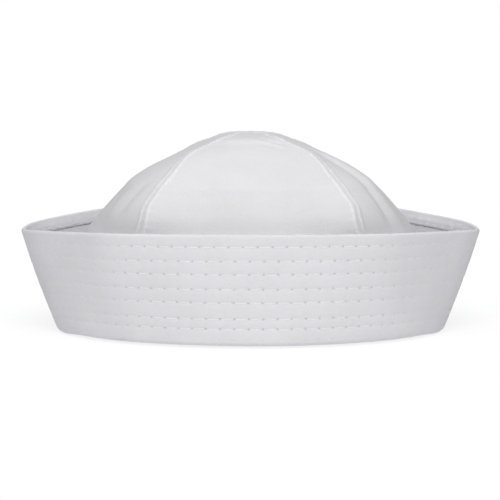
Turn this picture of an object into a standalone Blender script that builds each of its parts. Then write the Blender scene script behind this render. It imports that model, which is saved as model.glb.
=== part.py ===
"""A white cotton sailor cap: a soft dome of four sewn gores inside a turned-up brim.

Metres, +Z up, the front towards -Y. The origin is on the surface that the cap rests on,
under the middle of the cap.
"""

from collections import namedtuple
from math import asin, atan2, cos, hypot, pi, radians, sin

import bmesh
import bpy

# The crown, measured over its cloth.
CROWN_HALF_WIDTH = 0.1018
CROWN_HALF_DEPTH = 0.0876
CROWN_FOOT = 0.0085
CROWN_TOP = 0.1151
CROWN_CLOTH = 0.0012
TIP_HALF_WIDTH = 0.0014

# The felled seams: the side gores' edges are doubled over the front and back gores'.
SEAM_LAP = 0.008
SEAM_STEP = 0.0008
SEAM_RAISED = 0.0007

# The brim, measured over its cloth at the top edge.
BRIM_HALF_WIDTH = 0.1328
BRIM_HALF_DEPTH = 0.1142
BRIM_HEIGHT = 0.0581
BRIM_FRONT_RISE = 0.0069
BRIM_BULGE = 0.0008
BRIM_CLOTH = 0.0011

# The turned-up fold, which the cap rests on, and the part of the brim that goes up inside.
# It is flat at the left and the right, and lifts a little towards the front and the back.
FOLD_RADIUS = 0.0042
FOLD_FLAT = 0.0056
FOLD_LIFT = 0.0014
LEG_TOP = 0.0145

# The hem along the top edge.
HEM_WIDTH = 0.0068
HEM_THICKNESS = 0.003

# The fold is flat up to the first share of its half depth, and at its full lift from the second.
FLAT_ZONE = 0.2
LIFTED_ZONE = 0.5

# Sewn pieces lie this far apart.
GAP = 0.0003

# How finely the cloth is divided.
AROUND = 64
GORE_ROWS = 16
GORE_COLUMNS = 12
ARC_STEPS = 3
WALL_STEPS = 5
LEG_STEPS = 2
HEM_STEPS = 2
EDGE_STEPS = 4
PLAN_STEPS = 6 * AROUND

WHITE_COTTON = (0.79, 0.79, 0.81, 1.0)
COTTON_ROUGHNESS = 0.9

Section = namedtuple("Section", "height half_width half_depth seam_across seam_along")
# The crown's level sections, from its foot to its tip. The height is a share of the crown's
# height, the half width and half depth are shares of the crown's own, and the seam's place
# is a share of the section's half width and half depth.
CROWN_SECTIONS = (
    Section(0.000, 1.000, 1.000, 0.640, 0.768),
    Section(0.187, 1.000, 1.000, 0.640, 0.768),
    Section(0.345, 0.981, 0.985, 0.640, 0.768),
    Section(0.449, 0.945, 0.953, 0.640, 0.830),
    Section(0.509, 0.897, 0.915, 0.645, 0.875),
    Section(0.578, 0.839, 0.874, 0.670, 0.895),
    Section(0.640, 0.782, 0.827, 0.700, 0.895),
    Section(0.696, 0.729, 0.781, 0.692, 0.895),
    Section(0.743, 0.681, 0.740, 0.690, 0.890),
    Section(0.800, 0.592, 0.660, 0.710, 0.885),
    Section(0.846, 0.498, 0.580, 0.775, 0.880),
    Section(0.907, 0.356, 0.475, 0.890, 0.880),
    Section(0.944, 0.254, 0.385, 0.880, 0.890),
    Section(0.976, 0.160, 0.300, 0.850, 0.880),
    Section(1.000, 0.000, 0.000, 0.820, 0.900),
)

Turn = namedtuple("Turn", "place facing")
# How the brim's top edge turns, seen from above, from the side of the cap, place 0, to the
# front, place 1: which way it faces there, in degrees from straight ahead.
EDGE_TURNS = (Turn(0.0, 90), Turn(0.22, 58), Turn(0.49, 51), Turn(0.62, 31), Turn(1.0, 0))

Fold = namedtuple("Fold", "gore low high across_low across_high rise half_width")
# The soft folds and dents of the crown. They run up a gore from low to high, as shares of
# its length, across it from -1 to 1, and their rise is a share of the brim's fold radius.
CROWN_FOLDS = (
    Fold("right", 0.36, 0.74, -0.42, -0.36, 0.40, 0.12),
    Fold("right", 0.34, 0.70, -0.72, -0.66, -0.35, 0.12),
    Fold("right", 0.45, 0.85, 0.02, 0.06, -0.24, 0.16),
    Fold("left", 0.34, 0.66, 0.60, 0.72, -0.35, 0.12),
    Fold("left", 0.34, 0.56, 0.34, 0.40, 0.30, 0.12),
    Fold("back", 0.40, 0.75, 0.20, 0.40, -0.40, 0.16),
)

# The gores, counterclockwise from above, each a quarter turn on from the one before.
GORES = ("right", "back", "left", "front")


def smooth_step(share):
    """0 below 0 and 1 above 1, with a soft rise between them."""
    share = min(1.0, max(0.0, share))
    return share * share * (3 - 2 * share)


def white_cotton(name):
    material = bpy.data.materials.new(name)
    material.use_nodes = True
    shader = material.node_tree.nodes["Principled BSDF"]
    shader.inputs["Base Color"].default_value = WHITE_COTTON
    shader.inputs["Roughness"].default_value = COTTON_ROUGHNESS
    shader.inputs["Metallic"].default_value = 0.0
    return material


def between(rows, place):
    """The row at a place along the rows, 0 to the last, on a smooth curve through them."""
    i = min(int(place), len(rows) - 2)
    part = place - i
    before, low, high, after = (rows[min(max(k, 0), len(rows) - 1)] for k in range(i - 1, i + 3))
    values = []
    for a, b, c, d in zip(before, low, high, after):
        bend = (2 * a - 5 * b + 4 * c - d) * part**2 + (3 * b - a - 3 * c + d) * part**3
        values.append(b + 0.5 * ((c - a) * part + bend))
    return Section(*values)


def crown_section(share):
    """The section that lies a share of the way up the cloth, in metres and inside the cloth."""
    place = share_to_place(share)
    row = between(CROWN_SECTIONS, place)
    height = CROWN_FOOT + row.height * (CROWN_TOP - CROWN_CLOTH - CROWN_FOOT)
    half_width = max(row.half_width * CROWN_HALF_WIDTH - CROWN_CLOTH, TIP_HALF_WIDTH)
    half_depth = max(row.half_depth * CROWN_HALF_DEPTH - CROWN_CLOTH, TIP_HALF_WIDTH)
    return Section(height, half_width, half_depth, row.seam_across, row.seam_along)


def share_to_place(share):
    """Where a share of the cloth's length from foot to tip falls among the sections."""
    lengths = [0.0]
    for low, high in zip(CROWN_SECTIONS, CROWN_SECTIONS[1:]):
        rise = (high.height - low.height) * (CROWN_TOP - CROWN_FOOT)
        run = (high.half_width - low.half_width) * CROWN_HALF_WIDTH
        lengths.append(lengths[-1] + hypot(rise, run))
    wanted = share * lengths[-1]
    for i, (low, high) in enumerate(zip(lengths, lengths[1:])):
        if wanted <= high:
            return i + (wanted - low) / (high - low)
    return float(len(lengths) - 1)


def gore_point(gore, share, across):
    """A point of a gore's inner face, and how far the gore is round there, seam to seam."""
    section = crown_section(share)
    if gore in ("left", "right"):
        out, side = section.half_width, section.half_depth
        seam_out, seam_side = section.seam_across * out, section.seam_along * side
    else:
        out, side = section.half_depth, section.half_width
        seam_out, seam_side = section.seam_along * out, section.seam_across * side
    turn = atan2(seam_side / side, seam_out / out)
    angle = across * turn
    reach = out - (out - seam_out) * (1 - cos(angle)) / (1 - cos(turn))
    along = seam_side * sin(angle) / sin(turn)
    slope = hypot(seam_out, seam_side)
    reach += across * across * GAP / 2 * seam_side / slope
    along -= across * GAP / 2 * seam_out / slope
    reach += fold_height(gore, share, across)
    quarter = GORES.index(gore)
    x, y = reach, along
    for _ in range(quarter):
        x, y = -y, x
    return (x, y, section.height), 2 * hypot(out - seam_out, seam_side)


def fold_height(gore, share, across):
    """How far the gore's folds push it out, or in where it is below 0."""
    total = 0.0
    for fold in CROWN_FOLDS:
        if fold.gore != gore or not fold.low < share < fold.high:
            continue
        part = (share - fold.low) / (fold.high - fold.low)
        centre = fold.across_low + part * (fold.across_high - fold.across_low)
        off = abs(across - centre) / fold.half_width
        total += fold.rise * FOLD_RADIUS * smooth_step(1 - off) * sin(pi * part)
    return total


def gore_columns(gore, length_round):
    """The places across a gore, with a step at the edge of each felled seam."""
    if gore in ("front", "back"):
        return [2 * i / GORE_COLUMNS - 1 for i in range(GORE_COLUMNS + 1)]
    raised = max(0.12, 1 - 2 * SEAM_LAP / length_round)
    flat = max(0.08, 1 - 2 * (SEAM_LAP + SEAM_STEP) / length_round)
    inner = [flat * (2 * i / (GORE_COLUMNS - 2) - 1) for i in range(GORE_COLUMNS - 1)]
    return [-1.0, -raised, *inner, raised, 1.0]


def cloth_object(name, rows, closed, collection):
    """An object with a sheet of quads through rows of points, facing out of the rows' turn."""
    mesh = bpy.data.meshes.new(name)
    shape = bmesh.new()
    points = [[shape.verts.new(point) for point in row] for row in rows]
    count = len(points[0])
    for low, high in zip(points, points[1:]):
        for i in range(count if closed else count - 1):
            following = (i + 1) % count
            shape.faces.new((low[i], low[following], high[following], high[i]))
    shape.to_mesh(mesh)
    shape.free()
    mesh.shade_smooth()
    mesh.materials.append(white_cotton(name))
    made = bpy.data.objects.new(name, mesh)
    collection.objects.link(made)
    return made


def add_wall(made, thickness, outward):
    """Gives an open sheet its thickness, on the side that it faces or behind it."""
    wall = made.modifiers.new("cloth", "SOLIDIFY")
    wall.thickness = thickness
    wall.offset = 1.0 if outward else -1.0
    wall.use_rim = True
    return wall


def crown_gore(gore, collection):
    """A quarter of the dome, sewn to its neighbours along felled seams."""
    rows = []
    for i in range(GORE_ROWS + 1):
        share = i / GORE_ROWS
        length_round = gore_point(gore, share, 0.0)[1]
        columns = gore_columns(gore, length_round)
        rows.append([gore_point(gore, share, across)[0] for across in columns])
    made = cloth_object("crown_gore_" + gore, rows, False, collection)
    if gore in ("front", "back"):
        add_wall(made, CROWN_CLOTH, True)
        return made
    doubled = made.vertex_groups.new(name="doubled")
    count = len(rows[0])
    single = CROWN_CLOTH / (CROWN_CLOTH + SEAM_RAISED)
    for vertex in made.data.vertices:
        column = vertex.index % count
        on_lap = column in (0, 1, count - 2, count - 1)
        doubled.add([vertex.index], 1.0 if on_lap else single, "REPLACE")
    wall = add_wall(made, CROWN_CLOTH + SEAM_RAISED, True)
    wall.vertex_group = doubled.name
    return made


def arc(centre, radius, start, end, steps):
    """Points on an arc about a centre, without its first point."""
    turn = (end - start) / steps
    angles = [start + turn * (i + 1) for i in range(steps)]
    return [(centre[0] + radius * cos(a), centre[1] + radius * sin(a)) for a in angles]


def brim_outline(leg, edge, height):
    """The brim's outer face in a section through one side, from the leg's top to the edge.

    The leg is the reach of its outer face, and the edge is the reach of the brim's top edge.
    """
    inner_centre = (leg + FOLD_RADIUS, FOLD_RADIUS)
    outer_centre = (leg + FOLD_RADIUS + FOLD_FLAT, FOLD_RADIUS)
    points = [(leg, LEG_TOP + (FOLD_RADIUS - LEG_TOP) * i / LEG_STEPS) for i in range(LEG_STEPS + 1)]
    points += arc(inner_centre, FOLD_RADIUS, pi, 3 * pi / 2, ARC_STEPS)
    points.append((outer_centre[0], 0.0))
    run = edge - outer_centre[0]
    rise = height - outer_centre[1]
    lean = atan2(run, rise) - asin(FOLD_RADIUS / hypot(run, rise))
    points += arc(outer_centre, FOLD_RADIUS, -pi / 2, -lean, ARC_STEPS)
    low = points[-1]
    for i in range(1, WALL_STEPS + 1):
        share = i / WALL_STEPS
        swell = BRIM_BULGE * 4 * share * (1 - share)
        reach = low[0] + share * (edge - low[0]) + swell * cos(lean)
        points.append((reach, low[1] + share * (height - low[1]) - swell * sin(lean)))
    return points, lean


def offset_inward(points, distance):
    """The same outline moved to its left, which is into the cloth, by a distance."""
    moved = []
    for i, point in enumerate(points):
        before, after = points[max(i - 1, 0)], points[min(i + 1, len(points) - 1)]
        run, rise = after[0] - before[0], after[1] - before[1]
        length = hypot(run, rise)
        moved.append((point[0] - distance * rise / length, point[1] + distance * run / length))
    return moved


def hem_outline(points, lean):
    """The rolled top edge and the hem that goes down inside it."""
    radius = HEM_THICKNESS / 2
    end = points[-1]
    centre = (end[0] - radius * cos(lean), end[1] + radius * sin(lean))
    turned = arc(centre, radius, -lean, pi - lean, EDGE_STEPS)
    low = turned[-1]
    down = [HEM_WIDTH * (i + 1) / HEM_STEPS for i in range(HEM_STEPS)]
    return turned + [(low[0] - d * sin(lean), low[1] - d * cos(lean)) for d in down]


def brim_sides():
    """The brim's outline through a side and through the front, and how each leans."""
    leg_wall = CROWN_CLOTH + GAP + BRIM_CLOTH
    side = brim_outline(CROWN_HALF_WIDTH - leg_wall, BRIM_HALF_WIDTH, BRIM_HEIGHT - HEM_THICKNESS / 2)
    front = brim_outline(CROWN_HALF_DEPTH - leg_wall, BRIM_HALF_DEPTH, BRIM_HEIGHT - HEM_THICKNESS / 2)
    return side, front


def edge_facing(place):
    """Which way the brim's top edge faces at a place from its side to its front, in radians."""
    for low, high in zip(EDGE_TURNS, EDGE_TURNS[1:]):
        if place <= high.place:
            share = (place - low.place) / (high.place - low.place)
            return radians(low.facing + share * (high.facing - low.facing))
    return 0.0


def edge_plan():
    """A quarter of the brim's top edge seen from above, from the side to the front.

    The points are shares of the half width and of the half depth.
    """
    across, along = [0.0], [0.0]
    for i in range(PLAN_STEPS):
        facing = edge_facing((i + 0.5) / PLAN_STEPS)
        across.append(across[-1] + cos(facing))
        along.append(along[-1] + sin(facing))
    return [(1 - x / across[-1], y / along[-1]) for x, y in zip(across, along)]


def ring(plan, half_width, half_depth, height, top_share):
    """A row of points round the cap: an oval at the fold, and the edge's plan at the top."""
    like_edge = 1 - (1 - top_share) ** 2
    row = []
    for i in range(AROUND):
        angle = 2 * pi * i / AROUND
        c, s = cos(angle), sin(angle)
        place = atan2(abs(s), abs(c)) / (pi / 2)
        edge_x, edge_y = plan[round(place * PLAN_STEPS)]
        x = ((1 - like_edge) * abs(c) + like_edge * edge_x) * (1 if c > 0 else -1)
        y = ((1 - like_edge) * abs(s) + like_edge * edge_y) * (1 if s > 0 else -1)
        lifted = smooth_step((abs(y) - FLAT_ZONE) / (LIFTED_ZONE - FLAT_ZONE))
        lift = FOLD_LIFT * lifted * (1 - top_share)
        rise = BRIM_FRONT_RISE * abs(y) * top_share
        row.append((half_width * x, half_depth * y, height + lift + rise))
    return row


def rings(side_points, front_points):
    """The rows of a brim piece, from its outline through the side and through the front."""
    rows = []
    plan = edge_plan()
    for (half_width, height), (half_depth, _) in zip(side_points, front_points):
        top_share = min(1.0, max(0.0, (height - FOLD_RADIUS) / (BRIM_HEIGHT - FOLD_RADIUS)))
        if half_width < CROWN_HALF_WIDTH:
            top_share = 0.0
        rows.append(ring(plan, half_width, half_depth, height, top_share))
    return rows


def brim(collection):
    """The outer cloth: up inside the crown's foot, round the fold, up the wall and over the edge."""
    (side, side_lean), (front, front_lean) = brim_sides()
    side = side + hem_outline(side, side_lean)
    front = front + hem_outline(front, front_lean)
    made = cloth_object("brim", rings(side, front), True, collection)
    add_wall(made, BRIM_CLOTH, False)
    return made


def brim_facing(collection):
    """The inner cloth of the brim, from the bottom of the fold up to the hem."""
    first = LEG_STEPS + ARC_STEPS
    outlines = []
    for outline, lean in brim_sides():
        end = outline[-1]
        down = HEM_WIDTH + GAP
        outline[-1] = (end[0] - down * sin(lean), end[1] - down * cos(lean))
        outlines.append(offset_inward(outline[first:], BRIM_CLOTH + GAP))
    made = cloth_object("brim_facing", rings(*outlines), True, collection)
    add_wall(made, BRIM_CLOTH, False)
    return made


def main():
    for old in list(bpy.data.objects):
        bpy.data.objects.remove(old)
    cap = bpy.data.collections.new("sailor_cap")
    bpy.context.scene.collection.children.link(cap)
    for gore in GORES:
        crown_gore(gore, cap)
    brim(cap)
    brim_facing(cap)


main()
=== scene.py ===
"""Dresses the sailor cap in its white cotton: four gores, felled seams and a stitched brim."""

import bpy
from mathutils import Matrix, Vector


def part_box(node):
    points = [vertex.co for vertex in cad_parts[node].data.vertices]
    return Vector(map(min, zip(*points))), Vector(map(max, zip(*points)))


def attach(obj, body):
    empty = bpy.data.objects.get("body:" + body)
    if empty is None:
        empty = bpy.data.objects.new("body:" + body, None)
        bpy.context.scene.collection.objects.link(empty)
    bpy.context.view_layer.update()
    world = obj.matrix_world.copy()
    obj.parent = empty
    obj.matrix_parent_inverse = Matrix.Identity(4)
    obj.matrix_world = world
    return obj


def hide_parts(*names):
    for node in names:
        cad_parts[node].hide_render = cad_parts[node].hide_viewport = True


bl_info = {
    "name": "Sailor Cap",
    "version": (1, 0, 0),
    "blender": (4, 5, 0),
    "location": "View3D > Sidebar > Sailor Cap",
    "description": "Makes the cloth, the stitching and the studio of a white cotton sailor cap",
    "category": "Add Mesh",
}

from collections import namedtuple
from math import asin, atan2, cos, hypot, pi, radians, sin

import bpy
import numpy as np
from bpy.props import FloatProperty, IntProperty, PointerProperty, StringProperty
from mathutils import Vector, noise

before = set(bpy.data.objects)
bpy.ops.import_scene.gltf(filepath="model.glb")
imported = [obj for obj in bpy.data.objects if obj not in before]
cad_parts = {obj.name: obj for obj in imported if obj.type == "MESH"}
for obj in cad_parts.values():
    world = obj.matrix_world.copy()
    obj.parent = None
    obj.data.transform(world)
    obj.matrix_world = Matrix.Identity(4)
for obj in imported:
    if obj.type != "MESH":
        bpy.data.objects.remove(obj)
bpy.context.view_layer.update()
BRIM_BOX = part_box("brim")
FRONT_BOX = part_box("crown_gore_front")
RIGHT_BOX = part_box("crown_gore_right")

MM = 0.001
GORES = ("right", "back", "left", "front")

Section = namedtuple("Section", "height half_width half_depth seam_across seam_along")
# The crown's level sections from foot to tip, as shares: of the crown's height, half width
# and half depth, and of the section's own half width and half depth for the seam's place.
CROWN_SECTIONS = (
    Section(0.000, 1.000, 1.000, 0.640, 0.768),
    Section(0.187, 1.000, 1.000, 0.640, 0.768),
    Section(0.345, 0.981, 0.985, 0.640, 0.768),
    Section(0.449, 0.945, 0.953, 0.640, 0.830),
    Section(0.509, 0.897, 0.915, 0.645, 0.875),
    Section(0.578, 0.839, 0.874, 0.670, 0.895),
    Section(0.640, 0.782, 0.827, 0.700, 0.895),
    Section(0.696, 0.729, 0.781, 0.692, 0.895),
    Section(0.743, 0.681, 0.740, 0.690, 0.890),
    Section(0.800, 0.592, 0.660, 0.710, 0.885),
    Section(0.846, 0.498, 0.580, 0.775, 0.880),
    Section(0.907, 0.356, 0.475, 0.890, 0.880),
    Section(0.944, 0.254, 0.385, 0.880, 0.890),
    Section(0.976, 0.160, 0.300, 0.850, 0.880),
    Section(1.000, 0.000, 0.000, 0.820, 0.900),
)

Crease = namedtuple("Crease", "gore low across_low high across_high rise_mm half_width_mm")
# The soft folds of the crown. A crease runs over a gore from one place to another: how far
# up the cloth, 0 to 1, and how far across it, -1 to 1. A rise below 0 is a dent.
CREASES = (
    Crease("right", 0.36, -0.54, 0.76, -0.36, -1.4, 3.4),
    Crease("right", 0.32, -0.39, 0.80, -0.16, 1.0, 4.8),
    Crease("right", 0.50, 0.02, 0.80, 0.06, -1.0, 9.0),
    Crease("left", 0.40, 0.60, 0.56, 0.66, -0.9, 4.0),
    Crease("left", 0.38, 0.42, 0.54, 0.44, 0.7, 5.0),
    Crease("back", 0.42, 0.20, 0.75, 0.42, -1.2, 5.0),
    Crease("back", 0.40, -0.35, 0.60, -0.10, 0.8, 5.0),
    Crease("left", 0.45, -0.50, 0.70, -0.30, -0.9, 4.0),
    Crease("front", 0.80, 0.62, 0.86, 0.20, -0.45, 1.5),
    Crease("front", 0.82, 0.72, 0.88, 0.25, 0.35, 1.6),
    Crease("front", 0.84, 0.80, 0.90, 0.30, -0.45, 1.5),
)

Wave = namedtuple("Wave", "length_mm height_mm")
# How unevenly the cloth lies, in long and short waves: the soft crown's and the brim's.
CROWN_WAVES = (Wave(46.0, 0.55), Wave(19.0, 0.20), Wave(8.0, 0.05))
BRIM_WAVES = (Wave(60.0, 0.35), Wave(22.0, 0.12), Wave(7.0, 0.04))

StitchRow = namedtuple("StitchRow", "depth_share first_mm")
# The rows of stitches round the brim, from the edge down: how far down the wall, and how
# far the first needle hole lies to the right of the middle of the front.
STITCH_ROWS = (
    StitchRow(0.084, 3.9),
    StitchRow(0.219, -0.5),
    StitchRow(0.345, -0.8),
    StitchRow(0.487, -1.0),
    StitchRow(0.617, -1.5),
    StitchRow(0.776, -1.0),
    StitchRow(0.875, -1.1),
)

Turn = namedtuple("Turn", "place facing")
# How the brim's edge turns from the side of the cap, place 0, to the front, place 1: which
# way it faces there, in degrees from straight ahead. It is nearly straight over the flank.
EDGE_TURNS = (Turn(0.0, 90), Turn(0.22, 58), Turn(0.49, 51), Turn(0.62, 31), Turn(1.0, 0))

Lap = namedtuple("Lap", "place_mm height light")
# A felled seam in section, from its free edge over the side gore: how high the cloth stands
# as a share of the seam's rise, and how light it looks, from 0 to 1: lighter where the cloth is
# doubled, and with a painted highlight on its two ridges. The places are those of a seam this wide.
LAP_WIDTH_MM = 8.0
SEAM_LAP = (
    Lap(0.0, -0.10, 0.5),
    Lap(0.3, 0.20, 0.8),
    Lap(0.8, 0.55, 1.0),
    Lap(1.3, 0.90, 1.0),
    Lap(2.2, 1.15, 1.0),
    Lap(3.0, 0.98, 0.9),
    Lap(3.8, 0.66, 0.5),
    Lap(4.8, 0.55, 0.3),
    Lap(5.8, 0.56, 0.3),
    Lap(6.5, 0.60, 0.5),
    Lap(7.2, 0.84, 0.8),
    Lap(7.9, 0.62, 0.6),
    Lap(8.8, 0.15, 0.2),
    Lap(10.4, 0.0, 0.0),
)
# The two rows of stitches that hold a felled seam, in millimetres from its free edge.
SEAM_ROWS_MM = (0.8, 6.5)

Dent = namedtuple("Dent", "depth_mm half_width_mm")
# What a row of stitches does to the brim: it lies in a groove, each needle hole is in a dip,
# and the cloth swells softly between the holes.
GROOVE = Dent(0.22, 1.2)
HOLE_DIP = Dent(0.12, 0.9)
SWELL = Dent(0.09, 3.0)

Sun = namedtuple("Sun", "name height energy spread")
# The studio's lamps, both from the front: how high they stand and how soft they are, in degrees.
SUNS = (Sun("key_light", 35, 1.45, 40), Sun("fill_light", 50, 0.5, 60))

# What the functions below pass to each other.
GoreGrid = namedtuple("GoreGrid", "shares rows length half shrink across from_seam")
Outline = namedtuple("Outline", "points before lean wall_length")
Stitched = namedtuple("Stitched", "points maps values rows first_mm level")
Seat = namedtuple("Seat", "start end out")


def length(name, description, default):
    """A driving length in metres."""
    return FloatProperty(name=name, description=description, default=default, unit="LENGTH")


class CapSizes(bpy.types.PropertyGroup):
    """The cap's driving sizes and colours."""

    crown_half_width: length(
        "Crown half width", "From the middle of the crown to its side, over the cloth",
        round(RIGHT_BOX[1].x, 4)
    )
    crown_half_depth: length(
        "Crown half depth", "From the middle of the crown to its front, over the cloth",
        round(-FRONT_BOX[0].y, 4)
    )
    crown_foot: length(
        "Crown foot", "Height of the crown's lower edge, which is sewn to the brim",
        round(FRONT_BOX[0].z, 4)
    )
    crown_top: length("Crown top", "Height of the crown's tip", round(FRONT_BOX[1].z, 4))
    crown_cloth: length("Crown cloth", "Thickness of a gore's cloth", 1.2 * MM)
    seam_lap: length("Seam width", "Width of a felled seam", 8.0 * MM)
    seam_rise: length("Seam rise", "How far a felled seam stands above the gores", 0.62 * MM)
    brim_half_width: length(
        "Brim half width", "From the middle to the side of the brim's edge", round(BRIM_BOX[1].x, 4)
    )
    brim_half_depth: length(
        "Brim half depth", "From the middle to the front of the brim's edge", round(BRIM_BOX[1].y, 4)
    )
    brim_height: length(
        "Brim height", "Height of the brim's edge at the sides, where it is lowest", 58.1 * MM
    )
    brim_front_rise: length(
        "Brim front rise", "How much higher the edge is at the front and back than at the sides", 6.9 * MM
    )
    brim_cloth: length("Brim cloth", "Thickness of each of the brim's two cloths", 1.1 * MM)
    fold_radius: length("Fold radius", "Outer radius of the fold that the cap rests on", 4.2 * MM)
    fold_flat: length("Fold flat", "Width of the flat that the fold rests on", 5.6 * MM)
    fold_lift: length("Fold lift", "How far the fold lifts off at the front and back", 1.4 * MM)
    leg_top: length("Leg top", "Height of the brim's upper edge inside the crown", 14.5 * MM)
    hem_width: length("Hem width", "Width of the hem that is turned over the brim's edge", 6.8 * MM)
    hem_thickness: length(
        "Hem thickness", "Thickness of the brim with its hem, below the pressed edge", 3.0 * MM
    )
    edge_thickness: length(
        "Edge thickness", "Thickness of the brim's pressed edge, where the hem is folded over", 2.3 * MM
    )
    stitch_length: length(
        "Stitch length", "From one needle hole to the next along the brim's rows", 8.05 * MM
    )
    seam_stitch_length: length(
        "Seam stitch length", "From one needle hole to the next along the crown's seams", 3.2 * MM
    )
    thread_radius: length("Thread radius", "Half the thickness of the sewing thread", 0.22 * MM)
    around: IntProperty(name="Around", description="How many faces the brim has round the cap", default=520)
    gore_rows: IntProperty(
        name="Gore rows", description="How many faces a gore has from its foot to its tip", default=128
    )
    crown_colour: StringProperty(
        name="Crown colour", description="sRGB colour of the crown's bleached cotton", default="#D9D9DA"
    )
    # The brim is the same cotton as the crown; its colour is a little bluer, which paints in the bluish
    # tint of the shade on its flanks.
    brim_colour: StringProperty(
        name="Brim colour",
        description="sRGB colour of the brim's bleached cotton, which is a little bluer",
        default="#DADADD",
    )
    thread_colour: StringProperty(
        name="Thread colour", description="sRGB colour of the sewing thread", default="#E8E8EA"
    )


def linear(code):
    """A colour for a shader's socket from an sRGB hex code."""
    parts = [int(code[i : i + 2], 16) / 255 for i in (1, 3, 5)]
    return [p / 12.92 if p <= 0.04045 else ((p + 0.055) / 1.055) ** 2.4 for p in parts] + [1.0]


def node(tree, kind, inputs=(), **settings):
    """Adds a node with its settings and links, and gives its outputs.

    Inputs are values or other nodes' outputs: a list in the sockets' order, or a dict by name.
    """
    made = tree.nodes.new("ShaderNode" + kind)
    for name, value in settings.items():
        setattr(made, name, value)
    for key, value in inputs.items() if isinstance(inputs, dict) else enumerate(inputs):
        if isinstance(value, bpy.types.NodeSocket):
            tree.links.new(value, made.inputs[key])
        else:
            made.inputs[key].default_value = value
    return made.outputs


def sums(tree, operation, *values):
    """One step of arithmetic."""
    return node(tree, "Math", values, operation=operation)[0]


def soft_between(tree, value, low, high, at_low, at_high):
    """A value that goes softly from one number to another as the input passes low to high."""
    values = value, low, high, at_low, at_high
    return node(tree, "MapRange", values, interpolation_type="SMOOTHSTEP")[0]


def new_material(name, roughness, specular):
    """A material with its node tree and its shader."""
    material = bpy.data.materials.new(name)
    material.use_nodes = True
    shader = material.node_tree.nodes["Principled BSDF"]
    shader.inputs["Roughness"].default_value = roughness
    shader.inputs["Specular IOR Level"].default_value = specular
    return material, material.node_tree, shader


def colour_by(tree, shader, code, shade):
    """Gives the shader a colour times a shade."""
    values = {0: linear(code)[:3], "Scale": shade}
    colour = node(tree, "VectorMath", values, operation="SCALE")[0]
    tree.links.new(colour, shader.inputs["Base Color"])


# A needle hole's radius, where it is deepest and where it ends.
HOLE_MM = (0.25, 0.8)


def needle_holes(tree, pitch_mm):
    """1 at each needle hole and 0 elsewhere, from the map that counts stitches along a row."""
    place = node(tree, "UVMap", uv_map="stitch")[0]
    count, across = node(tree, "SeparateXYZ", [place])[:2]
    part = sums(tree, "FRACT", sums(tree, "ADD", count, 0.5))
    along = sums(tree, "MULTIPLY", sums(tree, "SUBTRACT", part, 0.5), pitch_mm)
    squares = sums(tree, "MULTIPLY", along, along), sums(tree, "MULTIPLY", across, across)
    distance = sums(tree, "SQRT", sums(tree, "ADD", *squares))
    return soft_between(tree, distance, *HOLE_MM, 1.0, 0.0)


# The twill's patterns, in spots to a metre: how its ridges waver, in 4 mm, its thick and thin
# places, in 1.1 mm, and the patches that are bleached more or less, in 26 mm.
WAVERS, SLUBS, PATCHES = 240.0, 900.0, 38.0
# The thread's twist shows as spots of 0.7 mm.
TWISTS = 1500.0


def bleached_twill(name, code, wale_mm, wale_depth_mm, hole_pitch_mm=0.0):
    """Bleached cotton twill, woven of dull fibres: soft and matt, with fine slanting ridges.

    Real ridges, the wales, are about 0.6 mm apart, too fine to show in the render, so they are
    drawn two to three times as far apart. With a pitch, it also has the needle holes, with painted shade in
    them.
    """
    material, tree, shader = new_material(name, 0.92, 0.25)
    cloth = node(tree, "UVMap", uv_map="cloth")[0]
    solid = node(tree, "TexCoord")["Object"]
    waver = node(tree, "TexNoise", {"Vector": solid, "Scale": WAVERS, "Detail": 2.0})[0]
    slub = node(tree, "TexNoise", {"Vector": solid, "Scale": SLUBS, "Detail": 3.0})[0]
    patch = node(tree, "TexNoise", {"Vector": solid, "Scale": PATCHES, "Detail": 3.0})[0]

    # The wales run at 45 degrees to the cloth's threads and waver a little.
    right, up = node(tree, "SeparateXYZ", [cloth])[:2]
    slant = sums(tree, "SUBTRACT", right, up)
    turns = 2 * pi * cos(pi / 4) / (wale_mm * MM)
    angle = sums(tree, "MULTIPLY_ADD", slant, turns, sums(tree, "MULTIPLY", waver, 8.0))
    wale = sums(tree, "MULTIPLY_ADD", sums(tree, "SINE", angle), 0.5, 0.5)

    # The relief in metres: the ridges, and the thick and thin places of the yarn.
    height = sums(tree, "MULTIPLY", wale, wale_depth_mm * MM)
    height = sums(tree, "MULTIPLY_ADD", slub, 0.13 * MM, height)

    # How light the cloth is, as a share of its colour. Ridges and thick places catch more light.
    shade = sums(tree, "MULTIPLY_ADD", wale, 0.007, 0.956)
    shade = sums(tree, "MULTIPLY_ADD", slub, 0.05, shade)
    shade = sums(tree, "MULTIPLY", shade, soft_between(tree, patch, 0.3, 0.7, 0.985, 1.01))
    if hole_pitch_mm:
        tight_and_hole_shade = node(tree, "Attribute", attribute_name="tight_and_hole_shade")["Fac"]
        hole = sums(tree, "MULTIPLY", needle_holes(tree, hole_pitch_mm), tight_and_hole_shade)
        height = sums(tree, "MULTIPLY_ADD", hole, -0.20 * MM, height)
        # Painted shade darkens each needle hole; it is fainter at the flanks, where the stitches pull less
        # tight.
        painted_hole_shade = sums(tree, "MULTIPLY_ADD", hole, -0.14, 1.0)
        shade = sums(tree, "MULTIPLY", shade, painted_hole_shade)
    else:
        # A felled seam looks lighter where its cloth is doubled and lets less light through, and its ridges
        # carry a painted highlight.
        doubled = node(tree, "Attribute", attribute_name="doubled")["Fac"]
        shade = sums(tree, "MULTIPLY_ADD", doubled, 0.06, shade)

    colour_by(tree, shader, code, shade)
    bump = node(tree, "Bump", {"Height": height, "Strength": 1.0, "Distance": 1.0})[0]
    tree.links.new(bump, shader.inputs["Normal"])
    return material


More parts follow.
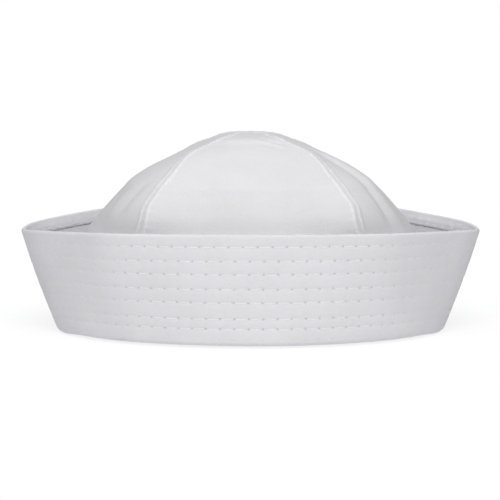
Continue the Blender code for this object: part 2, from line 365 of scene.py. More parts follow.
def cotton_thread(name, code):
    """Mercerised cotton thread, which is smoother than the cloth and shines a little."""
    material, tree, shader = new_material(name, 0.6, 0.35)
    solid = node(tree, "TexCoord")["Object"]
    grain = node(tree, "TexNoise", {"Vector": solid, "Scale": TWISTS, "Detail": 1.0})[0]
    colour_by(tree, shader, code, soft_between(tree, grain, 0.3, 0.7, 0.94, 1.0))
    return material


def smooth_step(share):
    """0 below 0 and 1 above 1, with a soft rise between them."""
    share = np.clip(share, 0.0, 1.0)
    return share * share * (3 - 2 * share)


def along_rows(rows, places):
    """Rows of numbers read at places between them, on a smooth curve through them."""
    rows = np.array(rows, float)
    low = np.clip(places.astype(int), 0, len(rows) - 2)
    part = (places - low)[:, None]
    a, b, c, d = (rows[np.clip(low + k, 0, len(rows) - 1)] for k in (-1, 0, 1, 2))
    bend = (2 * a - 5 * b + 4 * c - d) * part**2 + (3 * b - a - 3 * c + d) * part**3
    return b + 0.5 * ((c - a) * part + bend)


# Half the width of the crown's last ring, which is small but keeps its faces whole.
TIP_RING = 0.02 * MM


def crown_rows(sizes, shares):
    """The crown's sections at shares of the cloth's length from foot to tip, in metres."""
    table = np.array(CROWN_SECTIONS)
    rise = np.diff(table[:, 0]) * (sizes.crown_top - sizes.crown_foot)
    run = np.diff(table[:, 1]) * sizes.crown_half_width
    lengths = np.concatenate([[0], np.cumsum(np.hypot(rise, run))])
    places = np.interp(shares * lengths[-1], lengths, np.arange(len(lengths)))
    rows = along_rows(table, places)
    rows[:, 0] = sizes.crown_foot + rows[:, 0] * (sizes.crown_top - sizes.crown_foot)
    rows[:, 1] = np.maximum(rows[:, 1] * sizes.crown_half_width, TIP_RING)
    rows[:, 2] = np.maximum(rows[:, 2] * sizes.crown_half_depth, TIP_RING)
    return rows, lengths[-1]


def gore_sides(gore, rows):
    """A gore's reach and half width in each section, and the seam's reach and half width."""
    _, half_width, half_depth, across, along = rows.T
    if gore in ("left", "right"):
        return half_width, half_depth, across * half_width, along * half_depth
    return half_depth, half_width, along * half_depth, across * half_width


def quarter_turned(gore, reach, along, height):
    """Points from a gore's own reach, way along and height, turned to where the gore is."""
    x, y = reach, along
    for _ in range(GORES.index(gore)):
        x, y = -y, x
    return np.stack([x, y, height], -1)


def gore_base(gore, rows, across):
    """The smooth face of a gore, for a grid of places across each section."""
    out, side, seam_out, seam_side = (v[:, None] for v in gore_sides(gore, rows))
    turn = np.arctan2(seam_side / side, seam_out / out)
    angle = across * turn
    reach = out - (out - seam_out) * (1 - np.cos(angle)) / (1 - np.cos(turn))
    along = seam_side * np.sin(angle) / np.sin(turn)
    return quarter_turned(gore, reach, along, np.broadcast_to(rows[:, :1], reach.shape))


# A gore's arc is this many times as long as the straight way across it.
ARC_OVER_CHORD = 1.03


def half_round(gore, rows):
    """How far it is over the cloth from the middle of a gore to its seam, in each section."""
    out, _, seam_out, seam_side = gore_sides(gore, rows)
    return np.hypot(out - seam_out, seam_side) * ARC_OVER_CHORD


def normals_of(points, closed):
    """The outward directions of a grid of points."""
    if closed:
        across = np.roll(points, -1, 1) - np.roll(points, 1, 1)
    else:
        across = np.gradient(points, axis=1)
    up = np.gradient(points, axis=0)
    found = np.cross(across, up)
    return found / np.maximum(np.linalg.norm(found, axis=2, keepdims=True), 1e-12)


# Where the crown's and the brim's unevenness starts in the noise: any place would do.
CROWN_SHIFT = Vector((3.1, 3.1 * 0.37, 3.1 * 0.71))
BRIM_SHIFT = Vector((9.4, 9.4 * 0.37, 9.4 * 0.71))


def undulation(points, waves, shift):
    """Gentle unevenness in metres at each point, the same wherever two pieces meet."""
    total = np.zeros(points.shape[:2])
    for wave in waves:
        flat = points.reshape(-1, 3) * (1 / (wave.length_mm * MM))
        values = [noise.noise(Vector(p) + shift) for p in flat.tolist()]
        total += np.array(values).reshape(total.shape) * wave.height_mm * MM
    return total


# A crease runs a little past its two places and fades over a share of its length.
CREASE_OVERRUN = 0.15
CREASE_FADE = 0.4


def creased(gore, grid):
    """The rise in metres that a gore's creases give to each point of its grid."""
    total = np.zeros(grid.across.shape)
    x, y = grid.across * grid.half[:, None], (grid.shares * grid.length)[:, None]
    for crease in (c for c in CREASES if c.gore == gore):
        ends = np.interp([crease.low, crease.high], grid.shares, grid.half)
        start = np.array([crease.across_low * ends[0], crease.low * grid.length])
        finish = np.array([crease.across_high * ends[1], crease.high * grid.length])
        way = finish - start
        reach = np.linalg.norm(way)
        part = ((x - start[0]) * way[0] + (y - start[1]) * way[1]) / reach**2
        off = ((x - start[0]) * way[1] - (y - start[1]) * way[0]) / reach
        fade = smooth_step((part + CREASE_OVERRUN) / CREASE_FADE)
        fade *= smooth_step((1 + CREASE_OVERRUN - part) / CREASE_FADE)
        ridge = np.exp(-((off / (crease.half_width_mm * MM)) ** 2))
        total += crease.rise_mm * MM * fade * ridge
    return total


# Where half a gore is narrower than this, near the tip, its seam narrows with it.
SEAM_ZONE = 14.0 * MM
# How far the front and back gores go under the side gores' seams, and how much lower they lie.
UNDERLAP = 2.5 * MM
UNDERLAP_DROP = 0.25 * MM
# How many points a gore has from one of its seams to the other.
BETWEEN_SEAMS = 43


def gore_grid(gore, sizes):
    """A gore's grid: its sections, its places across, and how far each is from a seam."""
    shares = np.linspace(0, 1, sizes.gore_rows + 1)
    rows, length = crown_rows(sizes, shares)
    half = half_round(gore, rows)
    shrink = np.minimum(1.0, half / SEAM_ZONE)
    places = np.array([lap.place_mm for lap in SEAM_LAP]) / LAP_WIDTH_MM
    edge = 1 - places * sizes.seam_lap * (shrink / half)[:, None]
    between = np.linspace(0, 1, BETWEEN_SEAMS)[1:-1]
    inner = -edge[:, -1:] + 2 * edge[:, -1:] * between
    across = np.concatenate([-edge, inner, edge[:, ::-1]], 1)
    if gore in ("front", "back"):
        under = (UNDERLAP * shrink / half)[:, None]
        across = np.concatenate([-1 - under, across, 1 + under], 1)
    from_seam = (1 - np.abs(across)) * half[:, None]
    return GoreGrid(shares, rows, length, half, shrink, across, from_seam)


# The top share of a gore where its unevenness fades, so that all four meet at the tip.
TIP_FADE = 0.06
# The small puckers along a seam: their spacing, how it drifts, their height and their reach.
PUCKER = 5.2 * MM
PUCKER_DRIFT = 17.0 * MM
PUCKER_RISE = 0.10 * MM
PUCKER_REACH = 5.0 * MM
# The share of a seam's rise that is left where it narrows to nothing at the tip.
SEAM_RISE_AT_TIP = 0.3


def gore_points(gore, grid, sizes):
    """The finished face of a gore, and how light its seam looks at each point: lighter where its cloth is
    doubled, with a painted highlight on the seam's ridges.
    """
    points = gore_base(gore, grid.rows, grid.across)
    out = normals_of(points, False)
    out[-1] = (0, 0, 1)
    fade = smooth_step((1 - grid.shares) / TIP_FADE)[:, None]
    rise = (undulation(points, CROWN_WAVES, CROWN_SHIFT) + creased(gore, grid)) * fade
    along = (grid.shares * grid.length)[:, None]
    drift = 2.0 * np.sin(along / PUCKER_DRIFT)
    pucker = np.sin(2 * pi * along / PUCKER + drift)
    near = np.exp(-np.abs(grid.from_seam) / PUCKER_REACH)
    rise += PUCKER_RISE * pucker * near * fade
    light = np.zeros(grid.across.shape)
    if gore in ("left", "right"):
        shrink = grid.shrink[:, None]
        places, heights, lights = np.array(SEAM_LAP).T
        in_lap = np.interp(grid.from_seam / shrink, places * MM, heights)
        rise += sizes.seam_rise * in_lap * (SEAM_RISE_AT_TIP + (1 - SEAM_RISE_AT_TIP) * shrink)
        # How light the seam looks: its doubled cloth, and a painted highlight on its ridges.
        light = np.interp(grid.from_seam / shrink, places * MM, lights)
    else:
        rise -= UNDERLAP_DROP * (grid.from_seam < 0)
    return points + out * rise[..., None], light


# The angle in degrees past which an edge between two faces looks sharp.
SHARP_ANGLE = 65


def grid_object(name, points, closed, maps, values, thickness):
    """A cloth piece from a grid of points, with its maps and its values at each point."""
    rows, columns = points.shape[:2]
    low = np.arange(rows - 1)[:, None] * columns
    here = np.arange(columns if closed else columns - 1)[None, :]
    after = (here + 1) % columns
    faces = np.stack([low + here, low + after, low + columns + after, low + columns + here], -1)
    mesh = bpy.data.meshes.new(name)
    mesh.from_pydata(points.reshape(-1, 3).tolist(), [], faces.reshape(-1, 4).tolist())
    for map_name, corners in maps.items():
        layer = mesh.uv_layers.new(name=map_name)
        layer.data.foreach_set("uv", corners.reshape(-1).astype(np.float32))
    for value_name, grid in values.items():
        layer = mesh.attributes.new(value_name, "FLOAT", "POINT")
        layer.data.foreach_set("value", grid.reshape(-1).astype(np.float32))
    made = bpy.data.objects.new(name, mesh)
    bpy.context.scene.collection.objects.link(made)
    bpy.ops.object.select_all(action="DESELECT")
    bpy.context.view_layer.objects.active = made
    made.select_set(True)
    wall = made.modifiers.new("cloth", "SOLIDIFY")
    wall.thickness = thickness
    wall.offset = -1.0
    bpy.ops.object.modifier_apply(modifier=wall.name)
    bpy.ops.object.shade_smooth_by_angle(angle=radians(SHARP_ANGLE))
    return made


def corners_of(u, v):
    """A map's values at each face's corners, from its values at each point of an open grid."""
    both = np.stack([u, v], -1)
    return np.stack([both[:-1, :-1], both[:-1, 1:], both[1:, 1:], both[1:, :-1]], 2)


def ring_corners(u, v):
    """The same for a closed grid, on which u is alike on both sides."""
    return corners_of(np.concatenate([u, u[:, :1]], 1), np.concatenate([v, v[:, :1]], 1))


# A seam's stitches start on this row of its gore and stop at this share of the way to the tip.
SEAM_START_ROW = 3
SEAM_END_SHARE = 0.97
# How far a stitch's ends are from its needle holes' middles, at a seam and on the brim.
SEAM_GAP = 0.45 * MM
BRIM_GAP = 0.30 * MM
# How far the brim's stitches sink into its softer flanks.
SUNK = 0.21 * MM


def seats_along(line, outward, places, starts, step, gap, period=None):
    """Where the stitches lie along a line on the cloth, one from each start."""

    def read(values, at):
        return np.array([np.interp(at, places, v, period=period) for v in values.T])

    seats = []
    for at in starts:
        start, end = read(line, at + gap), read(line, at + step - gap)
        seats.append(Seat(start, end, read(outward, at + step / 2)))
    return seats


def seam_seats(grid, points, sizes):
    """Where the stitches lie along both seams of a side gore."""
    out, step = normals_of(points, False), sizes.seam_stitch_length
    middle = grid.across.shape[1] // 2
    rows = np.arange(SEAM_START_ROW, int(SEAM_END_SHARE * len(points)))
    seats = []
    for row_mm in SEAM_ROWS_MM:
        for first, end in ((0, middle), (middle, None)):
            off = grid.from_seam[:, first:end] - row_mm * MM * grid.shrink[:, None]
            nearest = (first + np.abs(off).argmin(1))[rows]
            line = points[rows, nearest]
            places = along_outline(line)
            starts = step * np.arange(int(places[-1] // step))
            seats += seats_along(line, out[rows, nearest], places, starts, step, SEAM_GAP)
    return seats


def brim_seats(cloth, sizes):
    """Where the stitches lie along all the rows of one of the brim's cloths."""
    out = normals_of(cloth.points, True)
    seats = []
    for row, first_mm in zip(cloth.rows, cloth.first_mm):
        ring = cloth.points[row]
        places, whole = (found[0] for found in round_lengths(ring[None]))
        number = round(whole / sizes.stitch_length)
        step = whole / number
        starts = first_mm * MM + step * np.arange(number)
        for seat in seats_along(ring, out[row], places, starts, step, BRIM_GAP, whole):
            sunk = SUNK * flank(seat.start[0], ring[:, 0].max()) * seat.out
            seats.append(Seat(seat.start - sunk, seat.end - sunk, seat.out))
    return seats


def crown_gore(gore, sizes, material):
    """Makes one gore's cloth, and gives its grid and its finished face."""
    grid = gore_grid(gore, sizes)
    points, light = gore_points(gore, grid, sizes)
    u = grid.across * grid.half[:, None]
    v = (grid.shares * grid.length)[:, None] + 0 * u
    name = f"gore_{gore}_cloth"
    maps = {"cloth": corners_of(u, v)}
    made = grid_object(name, points, False, maps, {"doubled": light}, sizes.crown_cloth)
    made.data.materials.append(material)
    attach(made, "root")
    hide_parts("crown_gore_" + gore)
    return grid, points


# The leg is the part of the brim inside the crown. It has this many rows, and the flat that
# the cap rests on has rows at these shares of its width.
LEG_ROWS = 5
FLAT_SHARES = (0.33, 0.67, 1.0)
# How many points the fold's two turns have, in the brim and in its facing.
BRIM_TURN = 9
FACING_TURN = 5
# How far the wall bulges outwards at half its height.
WALL_SWELL = 0.8 * MM


def brim_outline(sizes, leg, edge, shares, steps):
    """The brim's outer face in a section, from the top of the leg to the edge.

    The leg and the edge are reaches from the middle. Shares are places up the wall.
    """
    radius, height = sizes.fold_radius, sizes.brim_height - sizes.hem_thickness / 2
    centre = leg + radius + sizes.fold_flat
    leg_part = [(leg, z) for z in np.linspace(sizes.leg_top, radius, LEG_ROWS)]
    turn = np.linspace(pi, 3 * pi / 2, steps)[1:]
    inner = [(leg + radius + radius * cos(a), radius + radius * sin(a)) for a in turn]
    run, rise = edge - centre, height - radius
    lean = atan2(run, rise) - asin(radius / hypot(run, rise))
    flat = [(leg + radius + sizes.fold_flat * s, 0.0) for s in FLAT_SHARES]
    turn = np.linspace(-pi / 2, -lean, steps)[1:]
    outer = [(centre + radius * cos(a), radius + radius * sin(a)) for a in turn]
    low = outer[-1]
    length = hypot(edge - low[0], height - low[1])
    wall = []
    for share in shares:
        swell = WALL_SWELL * 4 * share * (1 - share)
        reach = low[0] + share * (edge - low[0]) + swell * cos(lean)
        wall.append((reach, low[1] + share * (height - low[1]) - swell * sin(lean)))
    before = leg_part + inner + flat + outer
    return Outline(np.array(before + wall), len(before), lean, length)


# The wall is about this high. Its rows are this far from each row of stitches, and elsewhere
# they are at even shares that keep clear of the stitches.
WALL_MM = 58.0
BY_STITCHES_MM = (-1.7, -0.9, 0.0, 0.9, 1.7)
CLEAR_MM = 2.6
EVEN_ROWS = 40


def wall_shares(last):
    """Places up the brim's wall from the fold, close together at each row of stitches."""
    last = round(last, 5)
    stitched = np.array([1 - row.depth_share for row in STITCH_ROWS])
    close = (stitched[:, None] + np.array(BY_STITCHES_MM) / WALL_MM).ravel()
    even = np.linspace(0, 1, EVEN_ROWS)[1:]
    clear = np.abs(even[:, None] - stitched[None, :]).min(1) > CLEAR_MM / WALL_MM
    places = np.unique(np.round(np.concatenate([close, even[clear], [last]]), 5))
    return places[(places > 0) & (places <= last)]


def row_of_stitches(shares, depth_share):
    """Which of the wall's places is nearest a row of stitches."""
    return int(np.abs(shares - (1 - depth_share)).argmin())


# How many steps the brim's edge is worked out in, from the side to the front.
PLAN_STEPS = 400


def edge_plan(places):
    """The brim's edge seen from above, as shares of its half width and half depth.

    A place is 0 at the side and 1 at the front.
    """
    fine = np.linspace(0, 1, PLAN_STEPS)
    turns, degrees = np.array(EDGE_TURNS).T
    facing = np.radians(np.interp(fine, turns, degrees))
    inward, forward = np.cumsum(np.cos(facing)), np.cumsum(np.sin(facing))
    across = 1 - (inward - inward[0]) / (inward[-1] - inward[0])
    along = (forward - forward[0]) / (forward[-1] - forward[0])
    return np.interp(places, fine, across), np.interp(places, fine, along)


# The fold starts to lift at this share of the way to the front, and has lifted this much on.
LIFT_START = 0.2
LIFT_REACH = 0.3


def ring_grid(sizes, side, front, top_shares):
    """Rows of points round the cap, from the outline at the side and the outline at the front."""
    angles = 2 * pi * np.arange(sizes.around) / sizes.around
    c, s = np.cos(angles)[None, :], np.sin(angles)[None, :]
    edge_x, edge_y = edge_plan(np.arctan2(np.abs(s), np.abs(c)) / (pi / 2))
    edge = 1 - (1 - top_shares[:, None]) ** 2
    x = np.sign(c) * ((1 - edge) * np.abs(c) + edge * edge_x)
    y = np.sign(s) * ((1 - edge) * np.abs(s) + edge * edge_y)
    tops = top_shares[:, None]
    lift = sizes.fold_lift * smooth_step((np.abs(y) - LIFT_START) / LIFT_REACH) * (1 - tops)
    z = side[:, 1:2] + lift + sizes.brim_front_rise * np.abs(y) * tops
    return np.stack([side[:, :1] * x, front[:, :1] * y, z], -1)


def shares_of_height(sizes, outline, legs):
    """How far up the wall each row of an outline is, 0 for the rows of the leg."""
    radius = sizes.fold_radius
    share = np.clip((outline[:, 1] - radius) / (sizes.brim_height - radius), 0, 1)
    share[:legs] = 0.0
    return share


def offset_inward(points, distance):
    """An outline moved to its left, into the cloth."""
    way = np.gradient(points, axis=0)
    way /= np.linalg.norm(way, axis=1, keepdims=True)
    return points + distance * np.stack([-way[:, 1], way[:, 0]], 1)


def round_lengths(points):
    """How far each point of a closed row is from the middle of the front, going to the right.

    The last value is the whole way round.
    """
    steps = np.linalg.norm(np.roll(points, -1, 1) - points, axis=2)
    going = np.concatenate([np.zeros((len(points), 1)), np.cumsum(steps, 1)], 1)
    front = points.shape[1] * 3 // 4
    return going[:, :-1] - going[:, front : front + 1], going[:, -1]


# The clearance between two pieces, as in the solids.
CLEARANCE = 0.3 * MM


def brim_outlines(sizes, shares, turn):
    """The brim's outline at the side and at the front. Its leg is just inside the crown."""
    inside = sizes.crown_cloth + CLEARANCE + sizes.brim_cloth
    legs = sizes.crown_half_width - inside, sizes.crown_half_depth - inside
    edges = sizes.brim_half_width, sizes.brim_half_depth
    return [brim_outline(sizes, leg, edge, shares, turn) for leg, edge in zip(legs, edges)]


# The hem's rows down from the edge, the share of it over which it opens to its full thickness,
# and how far its last two rows are pressed against the facing.
HEM_SHARES = np.array([0.12, 0.25, 0.4, 0.55, 0.67, 0.77, 0.87, 0.95, 1.0])
HEM_OPENING = 0.6
HEM_PRESSED_MM = (0.12, 0.50)


def with_hem(sizes, outline):
    """An outline with the pressed edge and the hem inside it."""
    end, lean = outline.points[-1], outline.lean
    radius = sizes.edge_thickness / 2
    up, inward = np.array([sin(lean), cos(lean)]), np.array([-cos(lean), sin(lean)])
    centre = end + radius * inward + (sizes.hem_thickness / 2 - radius) * up
    turn = np.linspace(-lean, pi - lean, BRIM_TURN)[1:]
    rolled = [centre + radius * np.array([cos(a), sin(a)]) for a in turn]
    opened = (sizes.hem_thickness - sizes.edge_thickness) * smooth_step(HEM_SHARES / HEM_OPENING)
    opened[-2:] -= np.array(HEM_PRESSED_MM) * MM
    hem = [rolled[-1] - d * sizes.hem_width * up + o * inward for d, o in zip(HEM_SHARES, opened)]
    return np.concatenate([outline.points, rolled, hem])


# The flanks start at this share of the half width, and are full this much further out.
FLANK_START = 0.45
FLANK_REACH = 0.3


def flank(x, half_width):
    """0 at the front and back and 1 at the flanks, where the stitches are pulled less tight and the painted
    shade in their needle holes is fainter.
    """
    return smooth_step((np.abs(x) / half_width - FLANK_START) / FLANK_REACH)


def stitched_relief(points, distances, row_of, first, pitch):
    """How stitches shape the cloth, and the map of where they are.

    Distances are each grid row's way from its nearest row of stitches, in millimetres.
    """
    lengths, whole = round_lengths(points)
    around = whole[row_of]
    wholes = np.round(around / pitch)
    counts = (lengths[row_of] - np.array(first)[:, None] * MM) / around[:, None] * wholes[:, None]
    off = np.abs(counts + 0.5 - np.floor(counts + 0.5) - 0.5) * pitch / MM
    d = distances[:, None]
    groove = GROOVE.depth_mm * np.exp(-((d / GROOVE.half_width_mm) ** 2))
    near = (d / HOLE_DIP.half_width_mm) ** 2 + (off / HOLE_DIP.half_width_mm) ** 2
    dip = HOLE_DIP.depth_mm * np.exp(-near)
    wander = np.sin(counts * 0.9 + 1.3 * np.sin(counts * 0.31))
    slant = 0.5 * d * np.sign(counts)
    swell = SWELL.depth_mm * np.exp(-((d / SWELL.half_width_mm) ** 2))
    swell = swell * np.cos(2 * pi * counts + wander + slant)
    # How tight the stitches pull, which sets their relief and how dark the painted shade in their needle
    # holes is.
    tight_and_hole_shade = 1 - 0.75 * flank(points[..., 0], points[..., 0].max())
    return -(groove + dip + swell) * MM * (0.4 + 0.6 * tight_and_hole_shade), counts, wholes, tight_and_hole_shade


def mirrored_u(points, level):
    """The way round from the middle of the front, alike on both sides, for the cloth's map."""
    lengths, whole = round_lengths(points[level : level + 1])
    u = lengths[0]
    half = whole[0] / 2
    u = np.abs((u + half) % whole[0] - half)
    return np.broadcast_to(u, points.shape[:2])


def row_corners(counts, wholes, distances, row_of):
    """The stitch map at the faces' corners: each face keeps to the row that it is nearest."""
    whole = np.concatenate([counts, counts[:, :1] + wholes[:, None]], 1)
    result = np.zeros((len(row_of) - 1, counts.shape[1], 4, 2))
    for i, (low, high) in enumerate(zip(distances[:-1], distances[1:])):
        keeps_low = abs(low) <= abs(high)
        bottom, top = low, high
        if row_of[i] != row_of[i + 1]:
            span = abs(high - low)
            bottom, top = (low, low + span) if keeps_low else (high - span, high)
        u = whole[i] if keeps_low else whole[i + 1]
        corners = (u[:-1], bottom), (u[1:], bottom), (u[1:], top), (u[:-1], top)
        for k, corner in enumerate(corners):
            result[i, :, k, 0], result[i, :, k, 1] = corner
    return result


def nearest_rows(distances_along, stitched, first):
    """For each grid row: its way from the nearest row of stitches, that row, and its first hole."""
    places = np.array([distances_along[k] for k in stitched])
    gaps = distances_along[:, None] - places[None, :]
    best = np.abs(gaps).argmin(1)
    distance = gaps[np.arange(len(gaps)), best] / MM
    return distance, [stitched[b] for b in best], [first[b] for b in best]


def along_outline(outline):
    """The way along an outline to each of its points."""
    steps = np.linalg.norm(np.diff(outline, axis=0), axis=1)
    return np.concatenate([[0], np.cumsum(steps)])


# A row this far from its nearest stitches has none of their relief.
NO_STITCHES_MM = 20.0
# The stitches' relief reaches this far below the lowest row.
RELIEF_REACH = 6.0 * MM


def with_stitches(points, way, rows, first_mm, beyond, level, sizes):
    """The relief of a brim cloth's stitches, their counts, how tight they are, which also sets the painted
    shade in their needle holes, and the maps.

    Beyond says which of the grid's rows the relief doesn't reach. The cloth's map has its true
    width on the row that is level.
    """
    distance, row_of, firsts = nearest_rows(way, rows, first_mm)
    distance[beyond] = NO_STITCHES_MM
    pitch = sizes.stitch_length
    rise, counts, wholes, tight_and_hole_shade = stitched_relief(points, distance, row_of, firsts, pitch)
    cloth = ring_corners(mirrored_u(points, level), np.broadcast_to(way[:, None], rise.shape))
    maps = {"cloth": cloth, "stitch": row_corners(counts, wholes, distance, row_of)}
    return rise, counts, tight_and_hole_shade, maps


# The hem is sewn down along this row, counted from its end.
HEM_STITCHES = 4
# How far from the leg's top the brim is smooth, and over how much more it grows uneven.
SMOOTH = 16.0 * MM
GROWS_UNEVEN = 12.0 * MM
# The hem's puckers start this far past the edge, grow over this much more, and are this high.
PUCKERS_START = 3.5 * MM
PUCKERS_GROW = 3.0 * MM
HEM_PUCKER = 0.22 * MM


def dressed_brim(sizes):
    """The finished face of the brim's outer cloth, with its maps and its stitched rows."""
    shares = wall_shares(1.0)
    outlines = brim_outlines(sizes, shares, BRIM_TURN)
    before = outlines[0].before
    turned = before + len(shares)
    side, front = (with_hem(sizes, outline) for outline in outlines)
    tops = shares_of_height(sizes, side, LEG_ROWS + BRIM_TURN - 1)
    points = ring_grid(sizes, side, front, tops)
    rows = [before + row_of_stitches(shares, row.depth_share) for row in STITCH_ROWS]
    way = along_outline(front)
    first = [row.first_mm for row in (*STITCH_ROWS, STITCH_ROWS[0])]
    below = way < way[rows[-1]] - RELIEF_REACH
    rows = rows + [len(front) - HEM_STITCHES]
    rise, counts, tight_and_hole_shade, maps = with_stitches(points, way, rows, first, below, rows[3], sizes)
    level = smooth_step((way - SMOOTH) / GROWS_UNEVEN)[:, None]
    in_hem = (way - way[turned] - PUCKERS_START) / PUCKERS_GROW
    in_hem = smooth_step(in_hem)[:, None]
    # The hem faces inwards, so what raises the wall's outer face lowers it.
    rise = rise + undulation(points, BRIM_WAVES, BRIM_SHIFT) * level * (1 - 2 * in_hem)
    uneven = 0.55 + 0.45 * np.sin(1.9 * counts + 2.0 * np.sin(0.23 * counts))
    pucker = np.sin(2 * pi * counts + 0.9 * np.sin(counts * 0.7))
    rise += HEM_PUCKER * in_hem * uneven * pucker
    finished = points + normals_of(points, True) * rise[..., None]
    # The hem's needle holes get no painted shade.
    return Stitched(finished, maps, {"tight_and_hole_shade": tight_and_hole_shade * (1 - in_hem)}, rows, first, rows[3])


# How far the facing's top edge goes up behind the end of the hem.
BEHIND_HEM = 1.05 * MM
# The facing's needle holes are half as deep as the brim's, and their painted shade is half as dark.
FACING_HOLES = 0.5


def dressed_facing(sizes):
    """The finished face of the brim's inner cloth, from under the hem down to the fold."""
    length_up = brim_outlines(sizes, [1.0], FACING_TURN)[1].wall_length
    shares = wall_shares(1 - (sizes.hem_width - BEHIND_HEM) / length_up)
    outlines = brim_outlines(sizes, shares, FACING_TURN)
    inset, start = 2 * sizes.brim_cloth + CLEARANCE, LEG_ROWS + FACING_TURN
    side, front = (offset_inward(outline.points, inset)[start:][::-1] for outline in outlines)
    points = ring_grid(sizes, side, front, shares_of_height(sizes, side, 0))
    lowest = len(side) - 1 - (outlines[0].before - start)
    rows = [lowest - row_of_stitches(shares, row.depth_share) for row in STITCH_ROWS[1:]]
    way = along_outline(front)
    first = [row.first_mm for row in STITCH_ROWS[1:]]
    below = way > way[rows[-1]] + RELIEF_REACH
    rise, _, tight_and_hole_shade, maps = with_stitches(points, way, rows, first, below, rows[2], sizes)
    rise = rise - undulation(points, BRIM_WAVES, BRIM_SHIFT)
    finished = points + normals_of(points, True) * rise[..., None]
    return Stitched(finished, maps, {"tight_and_hole_shade": FACING_HOLES * tight_and_hole_shade}, rows, first, rows[2])


def brim_piece(name, solid, cloth, material, sizes):
    """Makes one of the brim's two cloths, and gives it with its flat size."""
    made = grid_object(name, cloth.points, True, cloth.maps, cloth.values, sizes.brim_cloth)
    made.data.materials.append(material)
    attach(made, "root")
    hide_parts(solid)
    around = float(round_lengths(cloth.points[cloth.level][None])[1][0])
    width = float(along_outline(cloth.points[:, sizes.around * 3 // 4]).max())
    return made, (around, width)


# A stitch bends at these places between its ends at -0.5 and 0.5.
STITCH_BENDS = (-0.42, -0.25, 0.0, 0.25, 0.42)
# How high the brim's stitches arch over the cloth, how deep their ends dive into the needle
# holes, and how far a stitch leans to a side.
ARCH = 0.20 * MM
DIVE = 0.40 * MM
LEAN = 0.12 * MM
# How much thinner the thread is at its ends, and how high for its width: it is pressed flat.
THINNER = 0.25
PRESSED = 0.85


def model_stitch():
    """One stitch of thread along X, as points and faces to copy between two needle holes.

    Its points are shares of the stitch's length along X and of the thread's width across it.
    """
    bpy.ops.object.select_all(action="DESELECT")
    bpy.ops.mesh.primitive_cylinder_add(
        vertices=6, radius=0.5, depth=1.0, end_fill_type="NGON", rotation=(0, pi / 2, 0)
    )
    made = bpy.context.active_object
    bpy.ops.object.transform_apply(location=True, rotation=True, scale=True)
    bpy.ops.object.mode_set(mode="EDIT")
    for place in STITCH_BENDS:
        bpy.ops.mesh.select_all(action="SELECT")
        bpy.ops.mesh.bisect(plane_co=(place, 0, 0), plane_no=(1, 0, 0))
    bpy.ops.object.mode_set(mode="OBJECT")
    points = np.array([v.co[:] for v in made.data.vertices])
    faces = [tuple(f.vertices) for f in made.data.polygons]
    bpy.data.objects.remove(made)
    return points, faces


def stitch_copies(name, seats, sizes, material, fineness=1.0):
    """All the stitches of one kind in one piece, each a copy set between two needle holes."""
    points, faces = model_stitch()
    x = points[:, 0] * 2
    thick = 2 * fineness * sizes.thread_radius * (1 - THINNER * x**2)
    arch = fineness * (ARCH * (1 - x**2) - DIVE * np.abs(x) ** 6)
    vertices, all_faces = [], []
    for k, (start, end, out) in enumerate(seats):
        way = end - start
        out = out / np.linalg.norm(out)
        side = np.cross(out, way)
        side /= np.linalg.norm(side)
        # Each stitch leans another way than the one before.
        lean = LEAN * fineness * sin(k * 2.4) * (1 - x**2)
        placed = start + way * (points[:, :1] + 0.5)
        placed = placed + side * (points[:, 1:2] * thick[:, None] + lean[:, None])
        placed = placed + out * (points[:, 2:3] * thick[:, None] * PRESSED + arch[:, None])
        all_faces += [tuple(i + k * len(points) for i in face) for face in faces]
        vertices.append(placed)
    mesh = bpy.data.meshes.new(name)
    mesh.from_pydata(np.concatenate(vertices).tolist(), [], all_faces)
    mesh.shade_smooth()
    mesh.materials.append(material)
    made = bpy.data.objects.new(name, mesh)
    bpy.context.scene.collection.objects.link(made)
    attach(made, "root")


# The seams are sewn with a finer thread than the brim, this share of its thickness.
SEAM_FINENESS = 0.55


class CAP_OT_crown(bpy.types.Operator):
    """Makes the four gores of the crown, with their felled seams"""

    bl_idname = "cap.crown"
    bl_label = "Crown"

    def execute(self, context):
        sizes = context.scene.cap_sizes
        material = bleached_twill("crown_twill", sizes.crown_colour, 1.5, 0.02)
        seats = []
        for gore in GORES:
            grid, points = crown_gore(gore, sizes, material)
            if gore in ("left", "right"):
                seats += seam_seats(grid, points, sizes)
        thread = cotton_thread("seam_thread", sizes.thread_colour)
        stitch_copies("seam_stitches", seats, sizes, thread, SEAM_FINENESS)
        return {"FINISHED"}


class CAP_OT_brim(bpy.types.Operator):
    """Makes the turned-up brim: its outer cloth with the hem, and its facing"""

    bl_idname = "cap.brim"
    bl_label = "Brim"

    def execute(self, context):
        sizes = context.scene.cap_sizes
        pitch_mm = sizes.stitch_length / MM
        material = bleached_twill("brim_twill", sizes.brim_colour, 1.8, 0.022, pitch_mm)
        thread = cotton_thread("brim_thread", sizes.thread_colour)
        cloth = dressed_brim(sizes)
        made, flat = brim_piece("brim_cloth", "brim", cloth, material, sizes)
        seats = brim_seats(cloth, sizes)
        stitch_copies("brim_stitches", seats, sizes, thread)

        cloth = dressed_facing(sizes)
        made, flat = brim_piece("facing_cloth", "brim_facing", cloth, material, sizes)
        seats = brim_seats(cloth, sizes)
        stitch_copies("facing_stitches", seats, sizes, thread)
        return {"FINISHED"}


# The floor is wide enough for its end not to show.
FLOOR_METRES = 60
# What the camera looks at, from how far off, how wide its view is there, and its slope
# downwards in degrees.
AIM_MM = (-0.3, 0.0, 45.9)
CAMERA_MM = 2126
VIEW_MM = 290.7
CAMERA_SLOPE = 5.6
SENSOR = 36.0


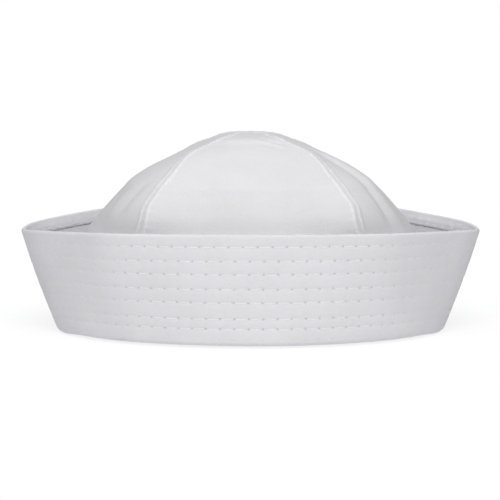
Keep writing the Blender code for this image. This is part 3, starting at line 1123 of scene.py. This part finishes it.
class CAP_OT_stage(bpy.types.Operator):
    """Sets up the pale floor, the soft studio light and the camera"""

    bl_idname = "cap.stage"
    bl_label = "Stage"

    def execute(self, context):
        scene = context.scene
        bpy.ops.object.select_all(action="DESELECT")
        bpy.ops.mesh.primitive_plane_add(size=FLOOR_METRES)
        floor = context.active_object
        floor.name = "floor"
        # Matt floor paint that glows a little: white to the eye, with a faint shadow.
        paint, _, shader = new_material("floor_paint", 1.0, 0.0)
        shader.inputs["Base Color"].default_value = linear("#898989")
        shader.inputs["Emission Color"].default_value = linear("#FFFFFF")
        shader.inputs["Emission Strength"].default_value = 0.75
        floor.data.materials.append(paint)

        # The sky's light is strongest from above and fades towards the horizon.
        world = bpy.data.worlds.new("studio")
        world.use_nodes = True
        tree = world.node_tree
        sky = tree.nodes["Background"]
        sky.inputs["Color"].default_value = linear("#FBFCFF")
        way = node(tree, "TexCoord")["Generated"]
        up = node(tree, "SeparateXYZ", [way])[2]
        glow = sums(tree, "MAXIMUM", up, 0.0)
        tree.links.new(glow, sky.inputs["Strength"])
        scene.world = world

        for sun in SUNS:
            bpy.ops.object.light_add(type="SUN", rotation=(radians(90 - sun.height), 0, 0))
            light = context.active_object
            light.name = sun.name
            light.data.energy = sun.energy
            light.data.color = linear("#FFFDFB")[:3]
            light.data.angle = radians(sun.spread)

        slope = radians(CAMERA_SLOPE)
        back = Vector((0, -cos(slope), sin(slope)))
        place = (Vector(AIM_MM) + back * CAMERA_MM) * MM
        bpy.ops.object.camera_add(location=place)
        camera = context.active_object
        camera.rotation_mode = "QUATERNION"
        camera.rotation_quaternion = (-back).to_track_quat("-Z", "Y")
        camera.data.sensor_width = SENSOR
        camera.data.lens = SENSOR * CAMERA_MM / VIEW_MM
        camera.data.dof.use_dof = False
        camera.data.clip_start = 0.05
        camera.data.clip_end = 100.0
        scene.camera = camera
        scene.view_settings.view_transform = "Standard"
        scene.view_settings.gamma = 0.8
        return {"FINISHED"}


class CAP_PT_panel(bpy.types.Panel):
    """Lists the cap's sizes and the buttons that make it"""

    bl_idname = "CAP_PT_panel"
    bl_label = "Sailor Cap"
    bl_space_type = "VIEW_3D"
    bl_region_type = "UI"
    bl_category = "Sailor Cap"

    def draw(self, context):
        sizes = context.scene.cap_sizes
        for name in CapSizes.__annotations__:
            self.layout.prop(sizes, name)
        for made in OPERATORS:
            self.layout.operator(made.bl_idname)


OPERATORS = (CAP_OT_crown, CAP_OT_brim, CAP_OT_stage)
CLASSES = (CapSizes, *OPERATORS, CAP_PT_panel)


def register():
    for made in CLASSES:
        bpy.utils.register_class(made)
    bpy.types.Scene.cap_sizes = PointerProperty(type=CapSizes)


def unregister():
    del bpy.types.Scene.cap_sizes
    for made in reversed(CLASSES):
        bpy.utils.unregister_class(made)


def main():
    register()
    bpy.ops.cap.crown()
    bpy.ops.cap.brim()
    bpy.ops.cap.stage()


if __name__ == "__main__":
    main()
